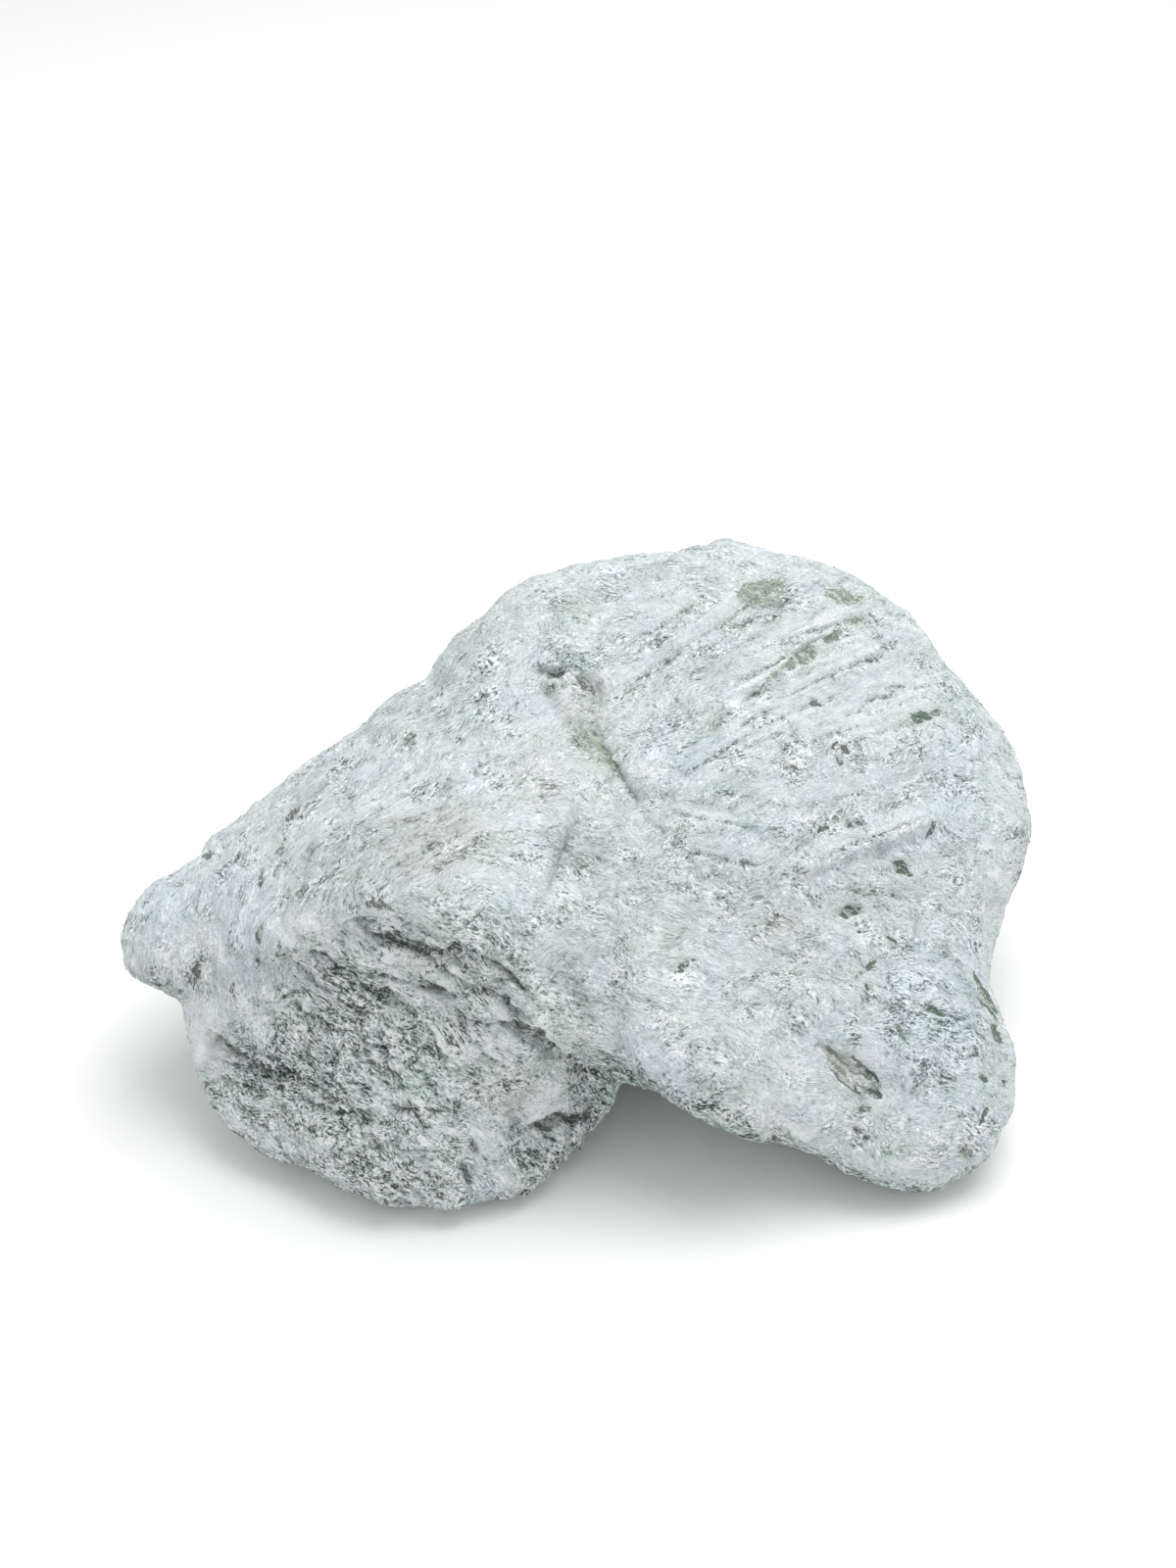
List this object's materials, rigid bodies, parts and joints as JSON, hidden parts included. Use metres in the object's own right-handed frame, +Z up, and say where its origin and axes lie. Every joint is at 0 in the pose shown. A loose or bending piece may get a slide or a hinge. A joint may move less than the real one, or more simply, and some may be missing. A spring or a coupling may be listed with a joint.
{
  "type": "raw soapstone",
  "caption": "Rough lump of raw soapstone, one broken and weathered piece with tool marks on top, resting on a worn flat spot.",
  "frame": {"origin": "on the resting surface, under the middle of the stone's box", "axes": "+Z up from the flat spot it rests on; +X along its longest extent, from the blunt tail to the foot; -Y towards the side with the broken face"},
  "size_m": [0.2748, 0.211, 0.1122],
  "materials": {
    "soapstone": "dusty white to grey-green talc stone, matt with a faint pearly sheen"
  },
  "bodies": {
    "root": {"soapstone": "soapstone"}
  },
  "joints": []
}
